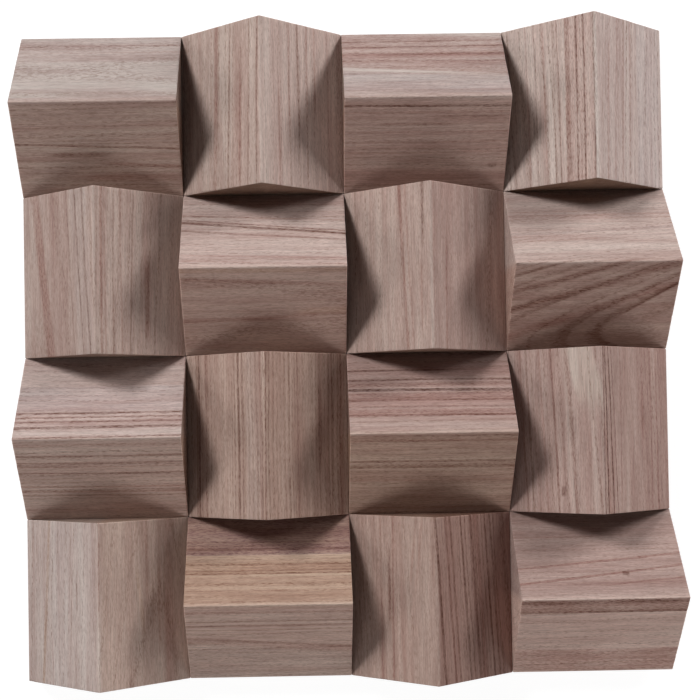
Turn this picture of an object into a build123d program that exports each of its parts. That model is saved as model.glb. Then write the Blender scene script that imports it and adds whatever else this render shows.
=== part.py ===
"""Acoustic scattering panel: a square field of wooden gable blocks on a plywood backing board.

Every block is a length of the same gable moulding, sawn off as long as it is wide.  The blocks lie in a
chequer: each one is turned a quarter turn against its neighbours, so that its ridge points at their sides.
The panel lies on its back, with +Z towards the listener and the origin at the middle of the back.
"""

import os

from build123d import *

# Field of blocks
rows = 4
columns = 4
joint_gap = 0.6  # open joint between two neighbouring blocks

# Gable moulding that the blocks are sawn from
block_side = 149.4  # width across the ridge, and length along it
eaves_height = 16.0  # height of the two low edges, beside the ridge
ridge_rise = 75.0  # ridge above the eaves
ridge_radius = 1.2  # sanded round on the ridge
eaves_radius = 0.8  # sanded round on the two low edges
end_chamfer = 0.5  # eased arris round both sawn ends

# Backing board
board_thickness = 9.0
board_inset = 6.0  # how far the board stays inside the field, so that two panels can butt block to block
board_chamfer = 0.8  # eased arris round the back


def gable_section():
    """Outline of the moulding, with its foot on the sketch's X axis and its ridge over the origin."""
    half_width = block_side / 2
    outline = Polygon(
        (-half_width, 0),
        (half_width, 0),
        (half_width, eaves_height),
        (0, eaves_height + ridge_rise),
        (-half_width, eaves_height),
        align=None,
    )
    eaves_corners = outline.vertices().group_by(Axis.Y)[1]
    outline = fillet(eaves_corners, eaves_radius)
    ridge_corner = outline.vertices().sort_by(Axis.Y)[-1]
    return fillet(ridge_corner, ridge_radius)


def gable_block():
    """One block standing on the XY plane, with its ridge along X and both sawn ends eased."""
    block = extrude(Plane.YZ * gable_section(), amount=block_side / 2, both=True)
    foot = block.faces().sort_by(Axis.Z)[0]
    foot_edges = foot.edges()
    sawn_ends = block.faces().filter_by(Axis.X)
    end_arrises = [edge for edge in sawn_ends.edges() if edge not in foot_edges]
    return chamfer(end_arrises, end_chamfer)


def backing_board():
    """Plywood square that carries the blocks, with its back on the XY plane."""
    pitch = block_side + joint_gap
    width = columns * pitch - joint_gap - 2 * board_inset
    length = rows * pitch - joint_gap - 2 * board_inset
    board = Box(width, length, board_thickness, align=(Align.CENTER, Align.CENTER, Align.MIN))
    back_edges = board.edges().group_by(Axis.Z)[0]
    return chamfer(back_edges, board_chamfer)


def block_location(row, column):
    """Seat of a block on the board, counted from the top left; every second block is turned a quarter turn."""
    pitch = block_side + joint_gap
    x = (column - (columns - 1) / 2) * pitch
    y = ((rows - 1) / 2 - row) * pitch
    quarter_turns = (row + column) % 2
    return Location((x, y, board_thickness), (0, 0, 90 * quarter_turns))


def panel():
    """Every piece of the panel by its name."""
    pieces = {"backing_board": backing_board()}
    block = gable_block()
    for row in range(rows):
        for column in range(columns):
            pieces[f"block_row{row + 1}_col{column + 1}"] = block_location(row, column) * block
    return pieces


os.makedirs("parts", exist_ok=True)
for name, piece in panel().items():
    export_step(piece, f"parts/{name}.step")
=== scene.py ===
import math
from collections import namedtuple

import bpy
import numpy as np
from mathutils import Euler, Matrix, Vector

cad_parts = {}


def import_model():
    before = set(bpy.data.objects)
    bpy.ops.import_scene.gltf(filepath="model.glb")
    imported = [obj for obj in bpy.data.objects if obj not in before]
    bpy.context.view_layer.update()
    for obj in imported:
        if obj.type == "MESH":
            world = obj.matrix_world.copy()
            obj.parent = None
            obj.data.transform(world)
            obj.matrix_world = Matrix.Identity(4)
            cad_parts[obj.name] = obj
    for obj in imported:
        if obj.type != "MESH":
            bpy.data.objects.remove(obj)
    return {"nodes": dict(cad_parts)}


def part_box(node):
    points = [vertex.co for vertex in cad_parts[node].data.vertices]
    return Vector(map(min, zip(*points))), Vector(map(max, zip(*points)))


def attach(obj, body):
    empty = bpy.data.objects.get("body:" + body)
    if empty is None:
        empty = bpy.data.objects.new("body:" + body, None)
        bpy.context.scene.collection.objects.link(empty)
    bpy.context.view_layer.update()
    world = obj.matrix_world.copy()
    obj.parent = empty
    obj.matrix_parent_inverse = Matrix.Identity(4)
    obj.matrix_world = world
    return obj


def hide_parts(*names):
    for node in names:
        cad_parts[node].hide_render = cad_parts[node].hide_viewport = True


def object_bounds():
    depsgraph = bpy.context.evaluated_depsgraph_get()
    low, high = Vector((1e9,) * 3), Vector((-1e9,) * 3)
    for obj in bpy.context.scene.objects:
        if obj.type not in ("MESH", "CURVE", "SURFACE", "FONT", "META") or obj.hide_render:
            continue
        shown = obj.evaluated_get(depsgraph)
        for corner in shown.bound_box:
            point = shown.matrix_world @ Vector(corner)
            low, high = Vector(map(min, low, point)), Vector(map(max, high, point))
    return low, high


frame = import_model()
cad_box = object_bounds()

MM = 0.001
ROWS = 4
COLUMNS = 4

# Gable blocks, as in the solids
EAVES_HEIGHT = 16 * MM
RIDGE_RADIUS = 1.2 * MM
EAVES_RADIUS = 0.8 * MM
END_CHAMFER = 0.5 * MM

JOINT_CLOSE = 0.22 * MM  # how far the sides that meet a neighbour close the open joint

# Fineness of the blocks' mesh
STATIONS = 50  # steps along the ridge
SLOPE_STEP = 1.5 * MM  # step down a slope
ROUND_STEPS = 4  # steps round an arris
SHARP_ANGLE = 25  # degrees between two faces from which their edge stays sharp

# What sawing and sanding by hand leaves on a block
RIDGE_WEAR = 0.35 * MM  # how far the sander dips into the ridge
WEAR_WIDTH = 3 * RIDGE_RADIUS  # how far from the ridge the sander dips
WEAR_SPACING = 5  # mesh steps along the ridge from one dip to the next
EASING = 0.8 * END_CHAMFER  # mean cut on a sawn arris
EASING_SPREAD = 0.4 * END_CHAMFER  # how far that cut varies
EASING_SPACING = 6  # mesh steps round the end from one variation to the next
EASING_REACH = 0.6  # length of the cut along the block, as a share of its depth
CHIP_DEPTH = 0.7 * MM  # deepest break-out on a sawn arris
CHIP_START = 0.55  # random level at which a break-out starts, of 1
CHIP_SPACING = 3  # mesh steps round the end from one random level to the next
# The paler line on the ridge and round the ends is partly sanding wear and partly a painted highlight
RUBBED_AND_HIGHLIGHT_WIDTH = 1.2 * RIDGE_RADIUS  # half width of the paler line on the ridge

# Camera at the photograph's place, looking down on the panel
CAMERA_PLACE = (-0.0409, -0.0683, 1.5008)
CAMERA_TURN = (1.234, -0.678, -0.941)  # degrees about X, Y and Z
CAMERA_LENS = 81.25  # mm
CAMERA_SENSOR = 36  # mm
CAMERA_SHIFT = (0.0392, 0.0619)

# Softboxes: azimuth and elevation in degrees seen from the panel, distance and size in metres, and the share
# of plain full light that each throws on a surface that faces it
Softbox = namedtuple("Softbox", "name azimuth elevation distance width height level")
SOFTBOXES = [
    Softbox("softbox_upper_left", 135, 40, 2.2, 0.7, 0.7, 0.63),
    Softbox("softbox_upper_right", 34, 18, 2.2, 1.0, 0.7, 0.57),
    Softbox("softbox_below", 264, 36, 1.1, 1.2, 0.6, 0.25),
    Softbox("softbox_right", 335, 12, 1.1, 0.8, 0.8, 0.16),
    Softbox("softbox_left", 188, 16, 2.2, 0.8, 0.8, 0.16),
]
WORLD_LEVEL = 0.004  # light of the surroundings on the object

# Floor
FLOOR_REACH = 4.0  # metres from the middle to each side
FLOOR_GAP = 0.5 * MM  # how far it lies under the panel
FLOOR_PAINT = (0.8, 0.8, 0.8, 1)  # what lights the object from below
FLOOR_WHITE = 0.9  # share of the white that the camera sees whatever the light
FLOOR_FAINT = (0.25, 0.25, 0.25, 1)  # the rest of that white, which carries the shadow

# Tints as shares of the wood's own tone in red, green and blue
PINK = (0.88, 0.78, 0.77)
BROWN = (0.52, 0.42, 0.38)
DEEP = (0.38, 0.31, 0.29)
DARK = (0.45, 0.35, 0.32)
UMBER = (0.60, 0.49, 0.46)
ROSE = (0.78, 0.66, 0.64)
BLUSH = (0.89, 0.81, 0.80)
MAUVE = (0.76, 0.70, 0.80)
GREY = (0.84, 0.83, 0.84)
ASH = (0.90, 0.93, 0.94)
FAWN = (0.93, 0.90, 0.88)
LILAC = (0.97, 1.02, 1.06)
PALE = (1.07, 1.12, 1.12)
IVORY = (1.18, 1.27, 1.28)
CREAM = (1.20, 1.34, 1.33)
TAN = (0.98, 0.90, 0.78)
HONEY = (0.84, 0.74, 0.66)

# Noises in the wood: cycles per mm along and across the grain
SWAY_SCALE = (0.006, 0.014)
STREAK_SCALE = (0.006, 0.11)
PATCH_SCALE = (0.022, 0.09)
FIBRE_SCALE = (0.05, 0.80)
PORE_SCALE = (0.22, 1.3)
PORE_LEVELS = (0.50, 0.60)  # noise at which a pore starts and at which it is full
PATCH_LEVELS = (0.35, 0.65)  # noise at which the lines are most and least broken

# Growth rings, in mm
FIBRE_SHIFT = 1.2  # how far the fibres fray a ring
UNEVEN_SCALE = 0.045  # cycles per mm of the drift in ring width
UNEVEN_REACH = 14.0  # how far that drift moves a ring
EARLY_WOOD = (0.2, 1.9)  # from the start of a ring, where its pore line is full and where it has faded
LATE_WOOD = 0.5  # dark rim at the end of a ring
LINE_SPREAD = 0.72  # how much the rings differ in strength
LINE_LEAST = 0.13  # strength of the weakest ring
LINE_BREAKS = (0.40, 0.70)  # strength of a line where it is most and least broken
LINE_PORES = 0.60  # how much the pores add to it
BAND_SCALE = 0.07  # cycles per mm of the pink bands
BAND_LEVELS = (0.40, 0.66)  # noise at which a pink band starts and at which it is full
BAND_STREAK = -1.1  # how far the streaks of light fade the pink
RIDGE_BLEND = 5.0  # half width of the change from one slope's tone to the other's

# Tone of the wood
STREAK_LIGHT = (0.58, 0.79, 0.81)  # how much the long streaks lighten red, green and blue
FIBRE_LIGHT = 0.75
CLOUD_LIGHT = 0.20
PITTING = 0.29  # darkness of the pores
PITTING_ON_LINES = 0.50  # how much darker they are on a ring line
WOBBLE_SWAY = 3.0  # mm that a streak sways
WOBBLE_FIBRE = 1.7  # mm that the fibres fray it
STREAK_BREAKS = (0.55, 0.85)  # strength of a streak where it is most and least broken
STREAK_PORES = 0.45  # how much the pores add to it
END_FACING = (0.75, 0.9)  # share of the normal along the grain at which end grain starts and is full
END_STREAK_LOSS = 0.85  # how much of the streaks the end grain hides
END_STAIN = (0.09, 0.0, -0.07)  # how far a dark sawn end leans to brown
# The paler ridge and end rims are partly wear and partly a painted highlight where the eased edges catch the
# light
RUBBED_AND_HIGHLIGHT_TINT = 0.5  # strength of the paler line on the ridge and round the ends
WOOD_BUMP = 0.4 * MM
WOOD_BUMP_STRENGTH = 0.4
WOOD_ROUGHNESS = (0.74, 0.58)  # in the hollows and on the crests of the fibres
WOOD_SPECULAR = 0.06  # raw wood, sanded matt

# Plywood
PLY_THICKNESS = 1.8  # mm
VENEER = "#CDB088"
VENEER_LINE = "#A98558"
PLY_ALONG = "#C9A87E"
PLY_ACROSS = "#98734A"
PLY_GLUE = "#5A4130"
VENEER_RINGS = 16.0  # lines over the whole range of the veneer's figure
PLYWOOD_BUMP = 0.3 * MM
PLYWOOD_BUMP_STRENGTH = 0.3
PLYWOOD_ROUGHNESS = (0.78, 0.62)
PLYWOOD_SPECULAR = 0.2


def tone(code):
    """Linear colour of a #RRGGBB screen colour."""
    channels = [int(code[i:i + 2], 16) / 255 for i in (1, 3, 5)]
    linear = [c / 12.92 if c <= 0.04045 else ((c + 0.055) / 1.055) ** 2.4 for c in channels]
    return (*linear, 1.0)


class Graph:
    """Short hand for the nodes of one tree: each call adds a node and gives its output socket."""

    def __init__(self, tree):
        self.tree = tree

    def node(self, kind, inputs=None, **settings):
        """The new node itself, with these settings and inputs."""
        made = self.tree.nodes.new(kind)
        for name, value in settings.items():
            setattr(made, name, value)
        for name, value in (inputs or {}).items():
            self.feed(made.inputs[name], value)
        return made

    def feed(self, socket, value):
        """Links or sets one input."""
        if isinstance(value, bpy.types.NodeSocket):
            self.tree.links.new(value, socket)
        else:
            socket.default_value = value

    def math(self, operation, *values):
        return self.node("ShaderNodeMath", dict(enumerate(values)), operation=operation).outputs[0]

    def vector(self, operation, *values):
        return self.node("ShaderNodeVectorMath", dict(enumerate(values)), operation=operation).outputs[0]

    def scaled(self, vector, factor):
        made = self.node("ShaderNodeVectorMath", {"Vector": vector, "Scale": factor}, operation="SCALE")
        return made.outputs[0]

    def split(self, vector):
        return self.node("ShaderNodeSeparateXYZ", {"Vector": vector}).outputs

    def join(self, x, y, z):
        return self.node("ShaderNodeCombineXYZ", {"X": x, "Y": y, "Z": z}).outputs[0]

    def noise(self, vector, detail=2.0, roughness=0.5):
        """Smooth noise of a vector, about 0 to 1."""
        inputs = {"Vector": vector, "Scale": 1.0, "Detail": detail, "Roughness": roughness}
        return self.node("ShaderNodeTexNoise", inputs, noise_dimensions="3D").outputs[0]

    def noise_vector(self, vector, detail=1.0):
        """Smooth noise of a vector in three channels, each about -0.5 to 0.5."""
        inputs = {"Vector": vector, "Scale": 1.0, "Detail": detail}
        made = self.node("ShaderNodeTexNoise", inputs, noise_dimensions="3D")
        return self.vector("SUBTRACT", made.outputs["Color"], (0.5, 0.5, 0.5))

    def noise_line(self, value, detail=2.0):
        """Smooth noise of one number, about 0 to 1."""
        inputs = {"W": value, "Scale": 1.0, "Detail": detail}
        return self.node("ShaderNodeTexNoise", inputs, noise_dimensions="1D").outputs[0]

    def random(self, value):
        """A fresh random number, 0 to 1, for every value."""
        return self.node("ShaderNodeTexWhiteNoise", {"W": value}, noise_dimensions="1D").outputs["Value"]

    def ease(self, value, start, end, low=0.0, high=1.0):
        """Goes smoothly from low to high as the value goes from start to end."""
        inputs = {"Value": value, "From Min": start, "From Max": end, "To Min": low, "To Max": high}
        return self.node("ShaderNodeMapRange", inputs, interpolation_type="SMOOTHSTEP").outputs[0]

    def mix(self, factor, first, second):
        made = self.node("ShaderNodeMix", data_type="RGBA", blend_type="MIX")
        self.feed(made.inputs[0], factor)
        self.feed(made.inputs[6], first)
        self.feed(made.inputs[7], second)
        return made.outputs[2]


def new_group(name, inputs, outputs):
    """An empty node group with these sockets, and a graph to fill it."""
    tree = bpy.data.node_groups.new(name, "ShaderNodeTree")
    for in_out, sockets in (("INPUT", inputs), ("OUTPUT", outputs)):
        for socket, kind in sockets.items():
            tree.interface.new_socket(socket, in_out=in_out, socket_type="NodeSocket" + kind)
    graph = Graph(tree)
    start = graph.node("NodeGroupInput").outputs
    end = graph.node("NodeGroupOutput").inputs
    return tree, graph, start, end


def new_material(name):
    """An empty node material, and a graph to fill it."""
    material = bpy.data.materials.new(name)
    material.use_nodes = True
    material.node_tree.nodes.clear()
    return material, Graph(material.node_tree)


def solid_wood_group():
    """Ring-porous wood through and through: rings about a pith line, pink bands, streaks, fibres and pores.

    Positions are in millimetres, with the grain along X.  The two slopes of a block may differ in tone and in
    the strength of their lines: high is the slope on the +Y side and low the one on the -Y side.  The two
    tones are partly the wood's own and partly painted light and shade, set slope by slope for how the lamps
    fall.
    """
    inputs = {
        "Position": "Vector",
        "Pith": "Vector",
        "Lean": "Vector",
        "Ring": "Float",
        "Wander": "Float",
        "Seed": "Float",
        "Line high": "Float",
        "Line low": "Float",
        "Band": "Float",
        "High": "Color",
        "Low": "Color",
    }
    outputs = {"Color": "Color", "Fibre": "Float", "Wobble": "Float", "Broken": "Float"}
    tree, g, start, end = new_group("solid_wood", inputs, outputs)
    position = start["Position"]
    along, across_ridge, _ = g.split(position)
    seed = start["Seed"]
    shift = g.join(seed, g.math("MULTIPLY", seed, 1.7), g.math("MULTIPLY", seed, 2.3))

    def stretched(scale):
        along_scale, across_scale = scale
        return g.vector("MULTIPLY_ADD", position, (along_scale, across_scale, across_scale), shift)

    sway = g.noise_vector(stretched(SWAY_SCALE))
    sway_across, _, cloud = g.split(sway)
    fibre = g.math("SUBTRACT", g.noise(stretched(FIBRE_SCALE), 2.0, 0.7), 0.5)
    streak = g.math("SUBTRACT", g.noise(stretched(STREAK_SCALE), 3.0, 0.62), 0.5)
    patch = g.noise(stretched(PATCH_SCALE), 1.0)
    pore = g.ease(g.noise(stretched(PORE_SCALE), 1.0), *PORE_LEVELS)

    # Distance from the pith, which leans and wanders along the block
    off_axis = g.vector("SUBTRACT", position, start["Pith"])
    off_axis = g.vector("SUBTRACT", off_axis, g.scaled(start["Lean"], along))
    off_axis = g.vector("ADD", off_axis, g.scaled(sway, start["Wander"]))
    across = g.vector("MULTIPLY", off_axis, (0.0, 1.0, 1.0))
    radius = g.node("ShaderNodeVectorMath", {0: across}, operation="LENGTH").outputs["Value"]
    radius = g.math("MULTIPLY_ADD", fibre, FIBRE_SHIFT, radius)

    # Rings of uneven width: a pore line where growth starts, fading into smooth late wood
    uneven = g.noise_line(g.math("MULTIPLY_ADD", radius, UNEVEN_SCALE, seed), 1.0)
    grown = g.math("MULTIPLY_ADD", g.math("SUBTRACT", uneven, 0.5), UNEVEN_REACH, radius)
    count = g.math("DIVIDE", grown, start["Ring"])
    growth = g.math("MULTIPLY", g.math("FRACT", count), start["Ring"])
    strength = g.random(g.math("MULTIPLY_ADD", seed, 13.0, g.math("FLOOR", count)))
    strength = g.math("MULTIPLY_ADD", g.math("POWER", strength, 1.5), LINE_SPREAD, LINE_LEAST)
    last = g.ease(growth, g.math("SUBTRACT", start["Ring"], LATE_WOOD), start["Ring"])
    line = g.math("MAXIMUM", g.ease(growth, *EARLY_WOOD, 1.0, 0.0), last)
    line = g.math("MULTIPLY", line, strength)
    broken = g.math("MULTIPLY_ADD", pore, LINE_PORES, g.ease(patch, *PATCH_LEVELS, *LINE_BREAKS))
    line = g.math("MULTIPLY", line, broken)

    # Pink bands follow groups of rings
    band = g.noise_line(g.math("MULTIPLY_ADD", grown, BAND_SCALE, g.math("ADD", seed, 31.0)), 3.0)
    band = g.math("MULTIPLY", g.ease(band, *BAND_LEVELS), start["Band"])
    band = g.math("MULTIPLY_ADD", streak, BAND_STREAK, band)

    # Tone of each slope, which is partly painted light and shade, then light, pink, ring lines and pores over
    # it
    slope = g.ease(across_ridge, -RIDGE_BLEND, RIDGE_BLEND)
    pale = g.mix(slope, start["Low"], start["High"])
    brown = g.vector("MULTIPLY", pale, BROWN)
    line_level = g.node("ShaderNodeMix", data_type="FLOAT")
    g.feed(line_level.inputs[0], slope)
    g.feed(line_level.inputs[2], start["Line low"])
    g.feed(line_level.inputs[3], start["Line high"])
    light = g.vector("MULTIPLY_ADD", streak, STREAK_LIGHT, (1.0, 1.0, 1.0))
    light = g.vector("ADD", light, g.math("MULTIPLY", fibre, FIBRE_LIGHT))
    light = g.vector("ADD", light, g.math("MULTIPLY", cloud, CLOUD_LIGHT))
    colour = g.vector("MULTIPLY", g.mix(band, pale, g.vector("MULTIPLY", pale, PINK)), light)
    colour = g.mix(g.math("MULTIPLY", line, line_level.outputs[0]), colour, brown)
    pitted = g.math("MULTIPLY", pore, g.math("MULTIPLY_ADD", line, PITTING_ON_LINES, PITTING))
    wobble = g.math("MULTIPLY_ADD", sway_across, WOBBLE_SWAY, g.math("MULTIPLY", fibre, WOBBLE_FIBRE))
    unbroken = g.ease(patch, *PATCH_LEVELS, *STREAK_BREAKS)
    g.feed(end["Color"], g.mix(pitted, colour, brown))
    g.feed(end["Fibre"], fibre)
    g.feed(end["Wobble"], wobble)
    g.feed(end["Broken"], g.math("MULTIPLY_ADD", pore, STREAK_PORES, unbroken))
    return tree


def streak_group():
    """Tints one band or line along the grain, over its whole length or a part of it."""
    inputs = {
        "Color": "Color",
        "Position": "Vector",
        "Wobble": "Float",
        "Broken": "Float",
        "Across": "Float",
        "Half width": "Float",
        "Slant": "Float",
        "Softness": "Float",
        "Middle": "Float",
        "Reach": "Float",
        "Strength": "Float",
        "Tint": "Vector",
    }
    tree, g, start, end = new_group("grain_streak", inputs, {"Color": "Color"})
    x, y, _ = g.split(start["Position"])
    heart = g.math("ADD", g.math("MULTIPLY_ADD", x, start["Slant"], start["Across"]), start["Wobble"])
    off = g.math("ABSOLUTE", g.math("DIVIDE", g.math("SUBTRACT", y, heart), start["Half width"]))
    cover = g.ease(off, g.math("SUBTRACT", 1.0, start["Softness"]), 1.0, 1.0, 0.0)
    run = g.math("ABSOLUTE", g.math("DIVIDE", g.math("SUBTRACT", x, start["Middle"]), start["Reach"]))
    cover = g.math("MULTIPLY", cover, g.ease(run, 0.5, 1.0, 1.0, 0.0))
    cover = g.math("MULTIPLY", cover, g.math("MULTIPLY", start["Strength"], start["Broken"]))
    change = g.scaled(g.vector("SUBTRACT", start["Tint"], (1.0, 1.0, 1.0)), cover)
    g.feed(end["Color"], g.vector("MULTIPLY", start["Color"], g.vector("ADD", change, (1.0, 1.0, 1.0))))
    return tree


SOLID_WOOD = solid_wood_group()
GRAIN_STREAK = streak_group()

# One band or line along the grain: place across the ridge in mm, half width in mm, tint, strength, slant,
# softness of its sides, and the middle and the half length of its run along the ridge in mm
Streak = namedtuple("Streak", "across half_width tint strength slant softness middle reach",
                    defaults=(0.0, 0.6, 0.0, 400.0))

# How one block was cut from its tree: pith line in mm from the middle of the block's foot, its lean, ring
# width in mm, strength of the ring lines on the high and the low slope, strength of the pink bands, tones of
# the two slopes, partly painted light and shade, the streaks that stand out, how far the pith wanders in mm,
# and how light the sawn ends are: darker end grain, made darker still as painted shade where an end or the
# slope at its foot lies in shade, and paler as painted light where an end faces a lamp
Figure = namedtuple("Figure", "pith lean ring lines band high low streaks wander end",
                    defaults=((), 6.0, 0.45))

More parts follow.
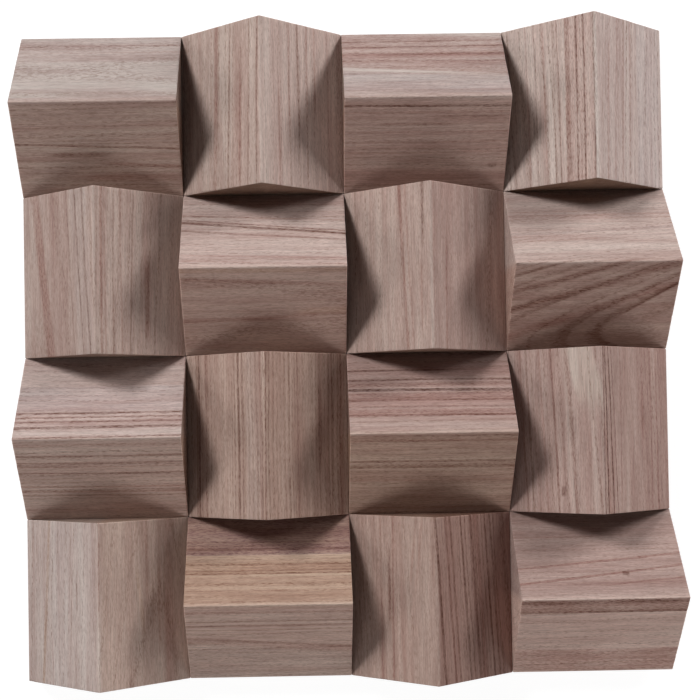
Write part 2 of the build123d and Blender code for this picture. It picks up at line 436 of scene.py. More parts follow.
FIGURES = {
    (1, 1): Figure((-69, -52), (0.0, 0.0), 5.0, (0.12, 0.5), 0.35, "#B6A59F", "#C4A99D", [
        Streak(25, 21, PALE, 1.0, 0.0, 0.08),
        Streak(14, 11, PALE, 0.7, -0.02, 0.10),
        Streak(65, 1.2, ROSE, 0.7),
        Streak(57, 1.2, BLUSH, 0.8),
        Streak(-34.5, 1.3, UMBER, 0.9, -0.034, 0.8),
        Streak(-37, 2.2, IVORY, 0.5, -0.034, 0.8),
        Streak(-40.5, 2.6, UMBER, 0.9, 0.0, 0.8, -18, 36),
        Streak(-47.5, 2.3, ROSE, 0.9, -0.05, 0.8, 45, 50),
        Streak(-60, 4.0, ROSE, 0.7, 0.0, 0.8, 30, 55),
    ]),
    (1, 2): Figure((0, -220), (0.0, 0.02), 7.0, (0.55, 0.55), 0.35, "#BFAAA0", "#CFB9B0", [
        Streak(42, 2.8, ROSE, 1.0, -0.02, 0.7),
        Streak(47, 1.0, BLUSH, 0.7, -0.02),
        Streak(29, 1.2, UMBER, 0.8, -0.025),
        Streak(21, 6.0, BLUSH, 0.7, -0.02, 0.6, -15, 90),
        Streak(18, 1.6, ROSE, 0.8, -0.02, 0.7, -20, 70),
        Streak(10.5, 1.0, UMBER, 0.7, -0.02),
        Streak(3, 1.0, UMBER, 0.8, -0.017),
        Streak(-6, 4.0, PALE, 0.5),
        Streak(-17, 1.0, ROSE, 0.8, 0.0, 0.6, -35, 70),
        Streak(-26, 1.0, ROSE, 0.8, 0.0, 0.6, 25, 70),
        Streak(-34.5, 1.2, UMBER, 0.8, 0.01, 0.6, 25, 75),
        Streak(-42, 1.2, ROSE, 0.8),
        Streak(-49, 1.2, ROSE, 0.8, 0.0, 0.6, 45, 60),
        Streak(-61, 1.2, ROSE, 0.6),
    ], end=0.31),
    (1, 3): Figure((200, 54), (0.0, 0.0), 7.5, (0.45, 0.65), 0.6, "#BFADA6", "#C6A99E", [
        Streak(52, 22, BLUSH, 1.1, -0.054, 0.04),
        Streak(65.5, 1.2, UMBER, 0.9, 0.007),
        Streak(58.5, 1.2, UMBER, 0.8, 0.007),
        Streak(49, 2.2, ROSE, 0.7),
        Streak(41, 1.7, ROSE, 0.6),
        Streak(28.3, 2.2, IVORY, 1.1, -0.054, 0.8),
        Streak(16, 12, LILAC, 0.9, -0.03, 0.3),
        Streak(-7, 1.3, DARK, 0.9, -0.005),
        Streak(-12, 1.2, ROSE, 0.7),
        Streak(-15, 1.0, UMBER, 0.7, 0.0, 0.6, 40, 50),
        Streak(-21, 1.4, UMBER, 0.8, 0.0, 0.7, -10, 45),
        Streak(-27, 1.0, ROSE, 0.7),
        Streak(-35, 1.0, ROSE, 0.6),
        Streak(-43, 1.2, ROSE, 0.6),
        Streak(-54, 2.2, DARK, 0.8, 0.0, 0.8, 62, 5),
    ]),
    (1, 4): Figure((0, -250), (0.0, -0.02), 4.6, (0.7, 0.45), 0.2, "#D7C4BB", "#C7B3AC", [
        Streak(22, 2.3, UMBER, 0.75, 0.01, 0.5),
        Streak(13, 11.5, BLUSH, 1.1, 0.01, 0.08),
        Streak(15, 1.0, DARK, 0.8, 0.01),
        Streak(9.3, 1.0, DARK, 0.8, 0.01),
        Streak(1.5, 0.9, DARK, 0.7, 0.005),
        Streak(5.5, 2.6, PALE, 0.5, 0.01),
        Streak(53.5, 1.0, ROSE, 0.8, 0.02),
        Streak(47, 1.0, UMBER, 0.6, 0.02),
        Streak(40, 1.0, ROSE, 0.8, 0.02),
        Streak(32.5, 1.0, UMBER, 0.6, 0.02),
        Streak(29, 0.9, UMBER, 0.7, 0.02),
        Streak(-14, 1.3, BLUSH, 0.9, -0.03),
        Streak(-22.5, 1.0, BLUSH, 0.9, -0.03),
        Streak(-30.5, 1.2, ROSE, 0.6, -0.02),
        Streak(-38, 1.2, BLUSH, 0.9, -0.02),
        Streak(-42.5, 1.3, IVORY, 0.6, -0.02),
        Streak(-59, 14, LILAC, 0.7, 0.0, 0.2),
    ], end=0.26),
    (2, 1): Figure((-25, -54), (0.0, -0.045), 6.0, (0.7, 0.6), 0.5, "#B29D94", "#C8B2A8", [
        Streak(54, 6.0, ROSE, 1.0, 0.11, 0.6),
        Streak(60, 7.0, IVORY, 0.5, 0.05, 0.8, -66, 34),
        Streak(37, 13, BLUSH, 0.5, 0.05, 0.4),
        Streak(24.5, 1.0, UMBER, 0.5, 0.055),
        Streak(15.5, 1.0, UMBER, 0.6, 0.058),
        Streak(8, 1.0, UMBER, 0.6, 0.055),
        Streak(12, 10, LILAC, 0.5, 0.055, 0.3),
        Streak(-6.5, 1.3, ROSE, 1.1, -0.008),
        Streak(-9.5, 0.9, ROSE, 0.6),
        Streak(-16, 1.0, UMBER, 0.6, -0.012),
        Streak(-22, 1.0, ROSE, 0.7),
        Streak(-30.5, 1.0, UMBER, 0.6, -0.03),
        Streak(-43, 2.8, ROSE, 1.0, -0.01, 0.7, -25, 45),
    ], wander=9.0),
    (2, 2): Figure((-178, 195), (-0.03, 0.0), 6.0, (0.4, 0.3), 0.3, "#CAB4AC", "#C8AA9E", [
        Streak(50, 1.0, ROSE, 0.9, -0.04),
        Streak(39.5, 2.0, DARK, 1.0, -0.088, 0.8),
        Streak(42.3, 1.0, UMBER, 0.9, -0.088),
        Streak(32, 1.4, UMBER, 0.7, -0.075),
        Streak(10, 1.3, BLUSH, 0.9, -0.03),
        Streak(4, 1.2, BLUSH, 0.8, -0.03),
        Streak(-3, 2.5, TAN, 0.5),
        Streak(-13, 2.2, ROSE, 0.7, -0.04, 0.8),
        Streak(-42.5, 2.5, ROSE, 0.7, 0.033, 0.8),
        Streak(-44, 2.0, ROSE, 0.7, 0.0, 0.8, -3, 20),
        Streak(-39, 4.0, TAN, 0.5, 0.03, 0.8, 60, 40),
    ], end=0.38),
    (2, 3): Figure((60, -150), (0.03, 0.0), 8.0, (0.3, 0.3), 0.3, "#C2ABA1", "#BCA299", [
        Streak(23.5, 1.9, ROSE, 1.0, 0.042, 0.7),
        Streak(18.5, 1.0, BLUSH, 0.9, 0.04),
        Streak(7, 2.0, DARK, 0.8, -0.004, 0.9, 50, 42),
        Streak(8, 1.2, ROSE, 0.7, 0.0, 0.8, -30, 45),
        Streak(-3, 1.2, BLUSH, 0.8),
        Streak(-15, 1.3, ROSE, 1.0, -0.014, 0.7, -28, 80),
        Streak(-24, 8.0, BLUSH, 0.3, 0.0, 0.8),
    ], end=0.40),
    (2, 4): Figure((-208, 176), (0.227, 0.127), 3.4, (0.2, 1.4), 0.2, "#C8B2AA", "#C5A69A", [
        Streak(52, 1.3, ROSE, 0.8, 0.01, 0.7, -30, 70),
        Streak(48, 1.3, BLUSH, 1.0, 0.01),
        Streak(45, 3.0, BLUSH, 0.7, 0.01, 0.9),
        Streak(38.5, 1.3, PALE, 0.8, 0.02),
        Streak(31.5, 1.7, GREY, 1.0, 0.045),
        Streak(24, 1.2, BLUSH, 0.8, 0.05, 0.7, -40, 60),
        Streak(14, 12, PALE, 0.5, 0.0, 0.3),
        Streak(-6.2, 3.6, UMBER, 1.0, 0.24, 0.9, -40, 95),
        Streak(-20, 5.0, UMBER, 1.0, 0.26, 0.9),
        Streak(-40, 6.0, ROSE, 1.0, 0.30, 0.9),
        Streak(-59, 2.2, UMBER, 1.0, 0.55, 0.9, 50, 34),
    ], wander=3.0, end=0.90),
    (3, 1): Figure((220, 40), (0.0, 0.0), 5.0, (0.15, 0.6), 0.3, "#CBB6AF", "#D1B6AA", [
        Streak(36, 12, LILAC, 0.9, 0.0, 0.12),
        Streak(16, 8.0, BLUSH, 0.6, 0.006, 0.10),
        Streak(22.8, 1.2, DARK, 0.9, 0.006),
        Streak(19, 1.0, UMBER, 1.0, 0.006),
        Streak(15, 1.0, UMBER, 1.0, 0.004),
        Streak(10, 1.6, DARK, 0.9, 0.006),
        Streak(1.3, 1.0, DARK, 0.8, 0.008),
        Streak(5, 2.2, PALE, 0.6),
        Streak(-6, 2.2, BLUSH, 0.7),
        Streak(-15.5, 1.2, UMBER, 0.9),
        Streak(-21.5, 1.0, UMBER, 0.8),
        Streak(-25, 1.0, ROSE, 0.6),
        Streak(-31, 1.0, UMBER, 0.9),
        Streak(-44, 1.2, ROSE, 0.9),
        Streak(-48.5, 1.2, ROSE, 0.9),
        Streak(-52, 1.2, UMBER, 0.7),
    ]),
    (3, 2): Figure((-20, -300), (0.0, 0.0), 3.4, (1.2, 1.2), 0.35, "#B89F93", "#BCA194", [
        Streak(62.5, 1.3, DARK, 0.8),
        Streak(56, 1.4, UMBER, 0.8),
        Streak(24.5, 1.1, DARK, 0.6, 0.003, 0.7),
        Streak(21.5, 1.2, UMBER, 0.6),
        Streak(5, 1.0, ROSE, 0.7),
        Streak(0, 1.2, UMBER, 0.8, -0.01),
        Streak(10, 9.0, LILAC, 0.6, 0.0, 0.4),
        Streak(-29, 1.2, UMBER, 0.6),
        Streak(-48.5, 2.6, UMBER, 0.8, 0.0, 0.8, 8, 50),
        Streak(-60, 1.3, UMBER, 0.8),
        Streak(-68, 3.5, ROSE, 0.8, 0.0, 0.8),
    ]),
    (3, 3): Figure((180, 40), (0.0, 0.0), 5.0, (0.65, 0.45), 0.5, "#BCA199", "#C6A999", [
        Streak(57.5, 1.3, DARK, 0.9, 0.0, 0.7, -40, 90),
        Streak(48.5, 1.4, DARK, 0.9),
        Streak(43, 2.5, BLUSH, 0.7),
        Streak(39, 1.7, DEEP, 1.0, -0.004),
        Streak(33.5, 3.5, ROSE, 0.7, 0.0, 0.6),
        Streak(30, 1.2, UMBER, 0.9),
        Streak(24, 1.2, UMBER, 0.6),
        Streak(19, 3.3, ROSE, 0.7, 0.0, 0.25),
        Streak(16.3, 1.2, UMBER, 0.8),
        Streak(7.5, 7.6, PALE, 1.0, 0.0, 0.08),
        Streak(-2.5, 1.0, UMBER, 0.7),
        Streak(-7, 1.2, ROSE, 0.8),
        Streak(-25.5, 1.3, UMBER, 1.0),
        Streak(-30.5, 1.9, UMBER, 0.9),
        Streak(-43, 2.0, BLUSH, 1.0, 0.0, 0.8),
    ]),
    (3, 4): Figure((-250, 54), (0.055, 0.0), 6.0, (0.55, 0.55), 0.45, "#C0A69D", "#B1978E", [
        Streak(62, 1.0, ROSE, 0.7, 0.03),
        Streak(57, 1.2, UMBER, 0.8, 0.03),
        Streak(46, 1.2, BLUSH, 1.0, 0.035),
        Streak(37, 1.2, UMBER, 0.9, 0.032),
        Streak(31, 3.0, DARK, 0.7, 0.0, 0.8, -55, 6),
        Streak(24, 2.6, UMBER, 0.8, 0.045, 0.8),
        Streak(10, 3.0, BLUSH, 0.6, 0.03, 0.8, -40, 55),
        Streak(3.5, 12, CREAM, 1.2, 0.19, 0.3, 74, 62),
        Streak(8.5, 4.0, PALE, 0.9, 0.02, 0.7, -20, 75),
        Streak(26.5, 3.0, PALE, 0.7, 0.03, 0.7),
        Streak(-2.5, 2.2, ROSE, 0.9, 0.07, 0.6, -45, 65),
        Streak(-1.4, 0.8, DARK, 0.9, 0.002),
        Streak(-4.3, 0.8, DARK, 1.2, 0.014),
        Streak(-8.9, 0.8, DARK, 1.2, 0.029),
        Streak(-12.8, 0.8, UMBER, 0.9, 0.04),
        Streak(-27, 2.4, PALE, 0.9, 0.0, 0.7),
        Streak(-38, 1.6, PALE, 0.7, 0.0, 0.8),
        Streak(-20, 1.0, ROSE, 0.7),
        Streak(-55, 19.5, BLUSH, 0.6, 0.0, 0.06),
        Streak(-45, 2.0, ROSE, 0.8, 0.0, 0.8, 40, 60),
        Streak(-55, 1.4, ROSE, 0.8, 0.0, 0.8),
        Streak(-62, 1.3, ROSE, 0.8),
    ], end=0.32),
    (4, 1): Figure((-151, 152), (-0.04, 0.0), 6.0, (0.3, 0.45), 0.25, "#C1B0A9", "#C4AB9F", [
        Streak(54, 2.0, HONEY, 1.0, -0.053, 0.8),
        Streak(48, 1.2, BLUSH, 0.8, 0.0, 0.7, -55, 36),
        Streak(40, 14, LILAC, 0.4, 0.0, 0.8),
        Streak(22.5, 1.2, UMBER, 0.7, 0.0, 0.8, 10, 20),
        Streak(0, 1.0, ROSE, 0.8, -0.008, 0.7, 40, 70),
        Streak(-34, 2.5, TAN, 0.5, 0.10, 0.8, 0, 36),
        Streak(-39, 1.9, ROSE, 0.8, 0.0, 0.8, 45, 55),
        Streak(-49.5, 2.3, ROSE, 0.7, 0.0, 0.8, 0, 55),
        Streak(-57, 5.0, BLUSH, 0.8, 0.0, 0.8),
    ]),
    (4, 2): Figure((220, 54), (0.0, 0.0), 5.0, (0.5, 0.5), 0.25, "#C1A390", "#D2B4A7", [
        Streak(58, 17.5, MAUVE, 1.1, 0.0, 0.05),
        Streak(52, 1.2, UMBER, 0.7),
        Streak(46, 1.7, UMBER, 0.7),
        Streak(41, 1.3, IVORY, 0.8),
        Streak(38, 2.0, PALE, 0.6),
        Streak(30.5, 5.5, FAWN, 1.0, 0.0, 0.15),
        Streak(33, 1.0, UMBER, 0.7),
        Streak(28, 1.0, UMBER, 0.6),
        Streak(25.5, 1.0, UMBER, 0.8),
        Streak(23.7, 1.2, PALE, 1.0),
        Streak(-7, 1.0, ROSE, 0.8),
        Streak(-16, 1.0, UMBER, 0.7),
        Streak(-18.3, 1.0, IVORY, 0.7),
        Streak(-20.3, 1.0, UMBER, 0.7),
        Streak(-23, 1.2, IVORY, 1.0),
        Streak(-26, 1.0, IVORY, 0.7),
        Streak(-38, 2.3, UMBER, 0.8, -0.065, 0.8),
        Streak(-42, 3.5, ROSE, 0.6, -0.065, 0.8),
        Streak(-60, 19, ASH, 1.0, -0.06, 0.10),
    ]),
    (4, 3): Figure((-250, 54), (0.06, 0.0), 5.0, (0.4, 1.0), 0.5, "#B79D92", "#A08278", [
        Streak(47, 1.3, ROSE, 0.7),
        Streak(40, 2.2, UMBER, 0.9, -0.01, 0.9, 12, 45),
        Streak(37, 1.2, ROSE, 0.9, -0.01),
        Streak(20, 14, PALE, 0.4, 0.0, 0.3),
        Streak(24, 1.4, BLUSH, 1.0, -0.10, 0.8, 50, 48),
        Streak(19, 1.4, BLUSH, 0.9, -0.10, 0.8, 45, 48),
        Streak(-3, 1.7, DARK, 0.9, 0.055),
        Streak(-13, 1.2, UMBER, 0.8, 0.06),
        Streak(-17.5, 1.2, UMBER, 0.8, 0.06),
        Streak(-28, 1.4, DARK, 0.8, 0.06),
        Streak(-38, 1.6, DARK, 0.8, 0.06),
        Streak(-43, 2.0, ROSE, 0.7, 0.06),
        Streak(-52, 1.3, UMBER, 0.8, 0.06),
        Streak(-57.5, 1.3, UMBER, 0.7, 0.06),
    ], end=0.36),
    (4, 4): Figure((220, -20), (0.0, 0.0), 6.0, (0.25, 0.4), 0.3, "#B89E96", "#DBBDB1", [
        Streak(52, 1.0, ROSE, 0.7, 0.0, 0.6, -45, 60),
        Streak(31, 1.3, ROSE, 1.1, 0.075),
        Streak(20, 1.3, ROSE, 1.1, 0.095),
        Streak(11.5, 1.0, ROSE, 0.8, 0.07, 0.7, 45, 55),
        Streak(21, 2.6, DARK, 0.9, 0.0, 0.8, 22, 4),
        Streak(-6.8, 6.8, UMBER, 0.9, 0.0, 0.05),
        Streak(-3, 2.0, UMBER, 0.7, 0.0, 0.5),
        Streak(-8.3, 2.0, IVORY, 0.4, -0.01, 0.8, -20, 80),
        Streak(-12.5, 1.4, UMBER, 0.7, 0.0, 0.6),
        Streak(-30, 1.3, PALE, 1.0),
        Streak(-37, 1.3, PALE, 0.9),
        Streak(-62, 12, ROSE, 0.85, 0.0, 0.10),
    ], end=0.92),
}


def wood_material(name, figure, seed):
    """Sanded wood of one block, with darker sawn ends that carry painted shade and light, and paler arrises
    that are partly wear and partly a painted highlight.
    """
    material, g = new_material(name)
    place = g.node("ShaderNodeTexCoord").outputs
    position = g.scaled(place["Object"], 1 / MM)
    settings = {
        "Position": position,
        "Pith": (0.0, *figure.pith),
        "Lean": (0.0, *figure.lean),
        "Ring": figure.ring,
        "Wander": figure.wander,
        "Seed": seed,
        "Line high": figure.lines[0],
        "Line low": figure.lines[1],
        "Band": figure.band,
        "High": tone(figure.high),
        "Low": tone(figure.low),
    }
    wood = g.node("ShaderNodeGroup", settings, node_tree=SOLID_WOOD).outputs
    colour = wood["Color"]
    facing_x = g.math("ABSOLUTE", g.split(place["Normal"])[0])
    sawn_end = g.ease(facing_x, *END_FACING)
    broken = g.math("MULTIPLY", wood["Broken"], g.math("MULTIPLY_ADD", sawn_end, -END_STREAK_LOSS, 1.0))
    for streak in figure.streaks:
        settings = {
            "Color": colour,
            "Position": position,
            "Wobble": wood["Wobble"],
            "Broken": broken,
            "Across": streak.across,
            "Half width": streak.half_width,
            "Slant": streak.slant,
            "Softness": streak.softness,
            "Middle": streak.middle,
            "Reach": streak.reach,
            "Strength": streak.strength,
            "Tint": streak.tint,
        }
        colour = g.node("ShaderNodeGroup", settings, node_tree=GRAIN_STREAK).outputs["Color"]
    # Darker end grain, with painted shade and light block by block in how dark each end is made
    end_grain_and_painted_shading = [figure.end + (1 - figure.end) * stain for stain in END_STAIN]
    colour = g.mix(sawn_end, colour, g.vector("MULTIPLY", colour, end_grain_and_painted_shading))
    arris = g.node("ShaderNodeAttribute", attribute_name="arris").outputs["Fac"]
    # Paler ridge and end rims: partly rubbing wear, partly a painted highlight of the eased edges catching
    # the light
    rubbed_and_highlight = g.math("MULTIPLY", arris, RUBBED_AND_HIGHLIGHT_TINT)
    colour = g.mix(rubbed_and_highlight, colour, g.vector("MULTIPLY", colour, IVORY))
    relief = {"Strength": WOOD_BUMP_STRENGTH, "Distance": WOOD_BUMP, "Height": wood["Fibre"]}
    bump = g.node("ShaderNodeBump", relief)
    roughness = g.ease(wood["Fibre"], -0.2, 0.2, *WOOD_ROUGHNESS)
    shader = g.node("ShaderNodeBsdfPrincipled", {"Base Color": colour, "Roughness": roughness})
    shader.inputs["Specular IOR Level"].default_value = WOOD_SPECULAR
    g.feed(shader.inputs["Normal"], bump.outputs[0])
    g.node("ShaderNodeOutputMaterial", {"Surface": shader.outputs[0]})
    return material


def plywood_material():
    """Raw plywood: rotary-cut veneer on the faces, and thin plies of crossing grain on the edges."""
    material, g = new_material("plywood")
    place = g.node("ShaderNodeTexCoord").outputs
    position = g.scaled(place["Object"], 1 / MM)
    _, _, z = g.split(position)
    warped = g.vector("ADD", position, g.scaled(g.noise_vector(g.scaled(position, 0.006), 2.0), 90.0))
    figure = g.noise(g.vector("MULTIPLY", warped, (0.0035, 0.020, 0.0)), 3.0)
    rings = g.math("FRACT", g.math("MULTIPLY", figure, VENEER_RINGS))
    veneer_line = g.math("MAXIMUM", g.ease(rings, 0.0, 0.5, 1.0, 0.0), g.ease(rings, 0.85, 1.0))
    fibre = g.noise(g.vector("MULTIPLY", position, (0.05, 1.2, 1.2)), 3.0, 0.6)
    colour = g.mix(g.math("MULTIPLY", veneer_line, 0.35), tone(VENEER), tone(VENEER_LINE))
    colour = g.scaled(colour, g.math("MULTIPLY_ADD", g.math("SUBTRACT", fibre, 0.5), 0.35, 1.0))
    layer = g.math("DIVIDE", z, PLY_THICKNESS)
    crossed = g.math("MODULO", g.math("FLOOR", layer), 2.0)
    edge_fibre = g.noise(g.vector("MULTIPLY", position, (0.4, 0.4, 3.0)), 3.0, 0.7)
    edge = g.mix(crossed, tone(PLY_ALONG), tone(PLY_ACROSS))
    edge = g.scaled(edge, g.math("MULTIPLY_ADD", g.math("SUBTRACT", edge_fibre, 0.5), 0.7, 1.0))
    glue = g.math("ABSOLUTE", g.math("SUBTRACT", g.math("FRACT", layer), 0.5))
    edge = g.mix(g.ease(glue, 0.42, 0.5, 0.0, 0.7), edge, tone(PLY_GLUE))
    facing_z = g.math("ABSOLUTE", g.split(place["Normal"])[2])
    colour = g.mix(g.ease(facing_z, 0.5, 0.8), edge, colour)
    relief = {"Strength": PLYWOOD_BUMP_STRENGTH, "Distance": PLYWOOD_BUMP, "Height": fibre}
    bump = g.node("ShaderNodeBump", relief)
    roughness = g.ease(fibre, 0.3, 0.7, *PLYWOOD_ROUGHNESS)
    shader = g.node("ShaderNodeBsdfPrincipled", {"Base Color": colour, "Roughness": roughness})
    shader.inputs["Specular IOR Level"].default_value = PLYWOOD_SPECULAR
    g.feed(shader.inputs["Normal"], bump.outputs[0])
    g.node("ShaderNodeOutputMaterial", {"Surface": shader.outputs[0]})
    return material


def rounded_corner(before, corner, after, radius):
    """Points round a corner of an outline, from the first tangent point to the second."""
    corner = np.array(corner)
    to_before = np.array(before) - corner
    to_after = np.array(after) - corner
    to_before /= np.linalg.norm(to_before)
    to_after /= np.linalg.norm(to_after)
    half_angle = math.acos(float(to_before @ to_after)) / 2
    bisector = to_before + to_after
    bisector /= np.linalg.norm(bisector)
    centre = corner + bisector * radius / math.sin(half_angle)
    start = corner + to_before * radius / math.tan(half_angle) - centre
    end = corner + to_after * radius / math.tan(half_angle) - centre
    points = []
    for step in range(ROUND_STEPS + 1):
        direction = start + (end - start) * step / ROUND_STEPS
        points.append(centre + direction * radius / np.linalg.norm(direction))
    return points


def straight_run(start, end):
    """Points between two ends of a slope, without the ends."""
    steps = max(1, round(np.linalg.norm(np.array(end) - np.array(start)) / SLOPE_STEP))
    return [np.array(start) + (np.array(end) - np.array(start)) * i / steps for i in range(1, steps)]


def gable_outline(width, height):
    """Cross-section of a block from one foot corner over the ridge to the other, in (y, z)."""
    half = width / 2
    corners = [(half, 0.0), (half, EAVES_HEIGHT), (0.0, height), (-half, EAVES_HEIGHT), (-half, 0.0)]
    right = rounded_corner(*corners[0:3], EAVES_RADIUS)
    ridge = rounded_corner(*corners[1:4], RIDGE_RADIUS)
    left = rounded_corner(*corners[2:5], EAVES_RADIUS)
    points = [np.array(corners[0])] + right + straight_run(right[-1], ridge[0]) + ridge
    points += straight_run(ridge[-1], left[0]) + left + [np.array(corners[4])]
    return np.array(points)


def inward_normals(outline):
    """Unit normals of the outline that point into the block."""
    tangent = np.gradient(outline, axis=0)
    normal = np.stack([-tangent[:, 1], tangent[:, 0]], axis=1)
    return normal / np.linalg.norm(normal, axis=1)[:, None]


def smooth_random(rng, count, spacing):
    """A smooth run of random numbers from -1 to 1, with a new one every so many points."""
    knots = rng.uniform(-1, 1, count // spacing + 3)
    places = np.arange(count) / spacing
    low = places.astype(int)
    share = places - low
    share = share * share * (3 - 2 * share)
    return knots[low] * (1 - share) + knots[low + 1] * share


def block_room(node, row, column):
    """Corners of the room that a block fills: its node's box, closed up to the blocks beside it."""
    low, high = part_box(node)
    low.x -= JOINT_CLOSE * (column > 1)
    high.x += JOINT_CLOSE * (column < COLUMNS)
    low.y -= JOINT_CLOSE * (row < ROWS)
    high.y += JOINT_CLOSE * (row > 1)
    return low, high


def sanded_sections(outline, half_length, rng):
    """Cross-sections from end to end, with an unevenly worn ridge and eased, chipped arrises on both ends."""
    normals = inward_normals(outline)
    count = len(outline)
    stations = np.linspace(-half_length + END_CHAMFER, half_length - END_CHAMFER, STATIONS)
    near_ridge = np.exp(-(outline[:, 0] / WEAR_WIDTH) ** 2)
    wear = 0.5 + 0.5 * smooth_random(rng, STATIONS, WEAR_SPACING)
    sections = []
    for x, dip in zip(stations, wear):
        worn = outline + normals * (near_ridge * dip * RIDGE_WEAR)[:, None]
        sections.append(np.column_stack([np.full(count, x), worn]))
    above_foot = (outline[:, 1] > EAVES_HEIGHT / 2).astype(float)
    rims = []
    for last, side in ((sections[0], -1), (sections[-1], 1)):
        chips = np.clip(smooth_random(rng, count, CHIP_SPACING) - CHIP_START, 0, 1) / (1 - CHIP_START)
        easing = EASING + EASING_SPREAD * smooth_random(rng, count, EASING_SPACING)
        bite = (easing + chips ** 2 * CHIP_DEPTH) * above_foot
        rim = last.copy()
        rim[:, 1:] += normals * bite[:, None]
        rim[:, 0] = side * half_length
        rims.append(rim)
        last[:, 0] -= side * bite * EASING_REACH
    return [rims[0], *sections, rims[1]]


def skin(name, sections):
    """Closed mesh over a row of cross-sections."""
    count = len(sections[0])
    total = len(sections)
    faces = []
    for i in range(total - 1):
        for j in range(count - 1):
            a = i * count + j
            faces.append((a, a + 1, a + count + 1, a + count))
        a = i * count
        faces.append((a + count - 1, a, a + count, a + 2 * count - 1))
    faces.append(tuple(range(count - 1, -1, -1)))
    faces.append(tuple(range((total - 1) * count, total * count)))
    mesh = bpy.data.meshes.new(name)
    mesh.from_pydata(np.concatenate(sections).tolist(), [], faces)
    mesh.update()
    mesh.validate()
    for polygon in mesh.polygons:
        polygon.use_smooth = True
    mesh.set_sharp_from_angle(angle=math.radians(SHARP_ANGLE))
    return mesh


def mark_arrises(mesh, outline, total):
    """Marks the ridge and the rims of both ends, which are made paler: partly rubbing wear, partly a painted
    highlight.
    """
    count = len(outline)
    arris = np.tile(np.exp(-(outline[:, 0] / RUBBED_AND_HIGHLIGHT_WIDTH) ** 2), total)
    arris[:count] = 1.0
    arris[-count:] = 1.0
    rubbed_and_highlight = mesh.attributes.new("arris", "FLOAT", "POINT")
    rubbed_and_highlight.data.foreach_set("value", arris.astype(np.float32))


def gable_block(name, node, row, column, seed):
    """One sanded block in the room of its node; every second block is turned a quarter turn."""
    low, high = block_room(node, row, column)
    turned = (row + column) % 2
    length = high.x - low.x
    width = high.y - low.y
    if turned:
        length, width = width, length
    ridge_drop = RIDGE_RADIUS * (math.sqrt(2) - 1)
    outline = gable_outline(width, high.z - low.z + ridge_drop)
    sections = sanded_sections(outline, length / 2, np.random.default_rng(seed))
    mesh = skin(name, sections)
    mark_arrises(mesh, outline, len(sections))
    block = bpy.data.objects.new(name, mesh)
    bpy.context.scene.collection.objects.link(block)
    block.location = ((low.x + high.x) / 2, (low.y + high.y) / 2, low.z)
    block.rotation_euler = (0, 0, turned * math.pi / 2)
    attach(block, "root")
    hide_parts(node)
    return block


def panel():
    """Every block of the panel in its own wood, and the board that carries them."""
    for row in range(1, ROWS + 1):
        for column in range(1, COLUMNS + 1):
            seed = 10 * row + column
            place = f"row{row}_col{column}"
            block = gable_block(f"gable_{place}", f"block_{place}", row, column, seed)
            material = wood_material(f"wood_{place}", FIGURES[row, column], seed * 7.3)
            block.data.materials.append(material)
    board = frame["nodes"]["backing_board"]
    board.data.materials.clear()
    board.data.materials.append(plywood_material())


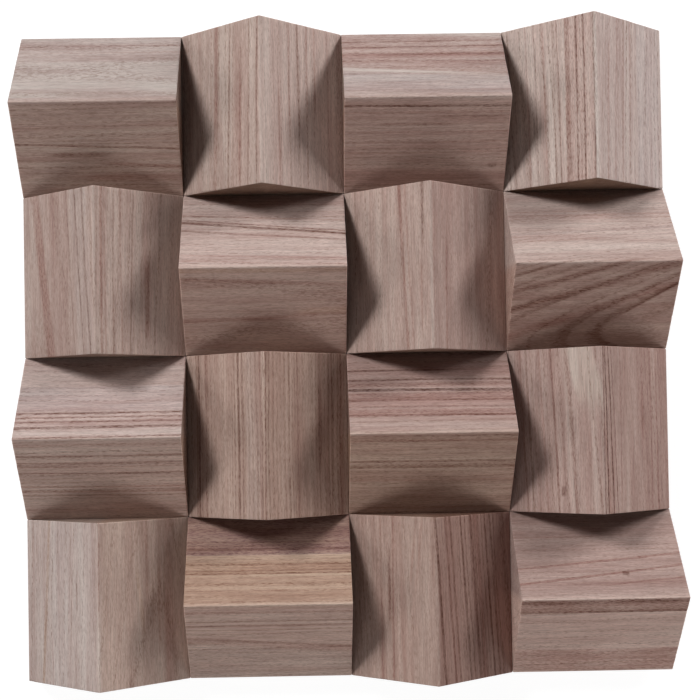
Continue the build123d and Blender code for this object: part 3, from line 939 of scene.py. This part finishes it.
def floor():
    """Pale floor that is white to the camera and keeps a faint shadow."""
    mesh = bpy.data.meshes.new("floor")
    signs = ((-1, -1), (1, -1), (1, 1), (-1, 1))
    corners = [(x * FLOOR_REACH, y * FLOOR_REACH, -FLOOR_GAP) for x, y in signs]
    mesh.from_pydata(corners, [], [(0, 1, 2, 3)])
    ground = bpy.data.objects.new("floor", mesh)
    bpy.context.scene.collection.objects.link(ground)
    material, g = new_material("pale_floor")
    paint = g.node("ShaderNodeBsdfDiffuse", {"Color": FLOOR_PAINT})
    faint = g.node("ShaderNodeBsdfDiffuse", {"Color": FLOOR_FAINT})
    white = g.node("ShaderNodeEmission", {"Color": (1, 1, 1, 1), "Strength": FLOOR_WHITE})
    seen = g.node("ShaderNodeAddShader", {0: white.outputs[0], 1: faint.outputs[0]})
    shown = g.node("ShaderNodeMixShader", {0: direct_ray(g), 1: paint.outputs[0], 2: seen.outputs[0]})
    g.node("ShaderNodeOutputMaterial", {"Surface": shown.outputs[0]})
    mesh.materials.append(material)


def direct_ray(g):
    """1 for rays that show the background, straight or in a mirror or a glass."""
    ray = g.node("ShaderNodeLightPath").outputs
    seen = g.math("MAXIMUM", ray["Is Camera Ray"], ray["Is Glossy Ray"])
    return g.math("MAXIMUM", seen, ray["Is Transmission Ray"])


def world():
    """White to the camera, dim to everything else."""
    sky = bpy.data.worlds.new("studio")
    sky.use_nodes = True
    sky.node_tree.nodes.clear()
    g = Graph(sky.node_tree)
    level = g.ease(direct_ray(g), 0.0, 1.0, WORLD_LEVEL, 1.0)
    background = g.node("ShaderNodeBackground", {"Color": (1, 1, 1, 1), "Strength": level})
    g.node("ShaderNodeOutputWorld", {"Surface": background.outputs[0]})
    bpy.context.scene.world = sky


def softbox(box):
    """Area light that faces the middle of the panel."""
    light = bpy.data.lights.new(box.name, "AREA")
    light.shape = "RECTANGLE"
    light.size = box.width
    light.size_y = box.height
    light.energy = box.level * (math.pi * box.distance) ** 2
    azimuth = math.radians(box.azimuth)
    elevation = math.radians(box.elevation)
    flat = math.cos(elevation)
    outward = Vector((math.cos(azimuth) * flat, math.sin(azimuth) * flat, math.sin(elevation)))
    lamp = bpy.data.objects.new(box.name, light)
    lamp.location = outward * box.distance + Vector((0, 0, cad_box[1][2] / 2))
    lamp.rotation_euler = outward.to_track_quat("Z", "Y").to_euler()
    bpy.context.scene.collection.objects.link(lamp)


def camera():
    """Camera at the photograph's place."""
    data = bpy.data.cameras.new("camera")
    data.sensor_width = CAMERA_SENSOR
    data.lens = CAMERA_LENS
    data.shift_x, data.shift_y = CAMERA_SHIFT
    view = bpy.data.objects.new("camera", data)
    view.location = CAMERA_PLACE
    view.rotation_euler = Euler([math.radians(angle) for angle in CAMERA_TURN])
    bpy.context.scene.collection.objects.link(view)
    bpy.context.scene.camera = view


panel()
floor()
world()
for box in SOFTBOXES:
    softbox(box)
camera()
bpy.context.scene.view_settings.view_transform = "Standard"

bpy.context.view_layer.update()
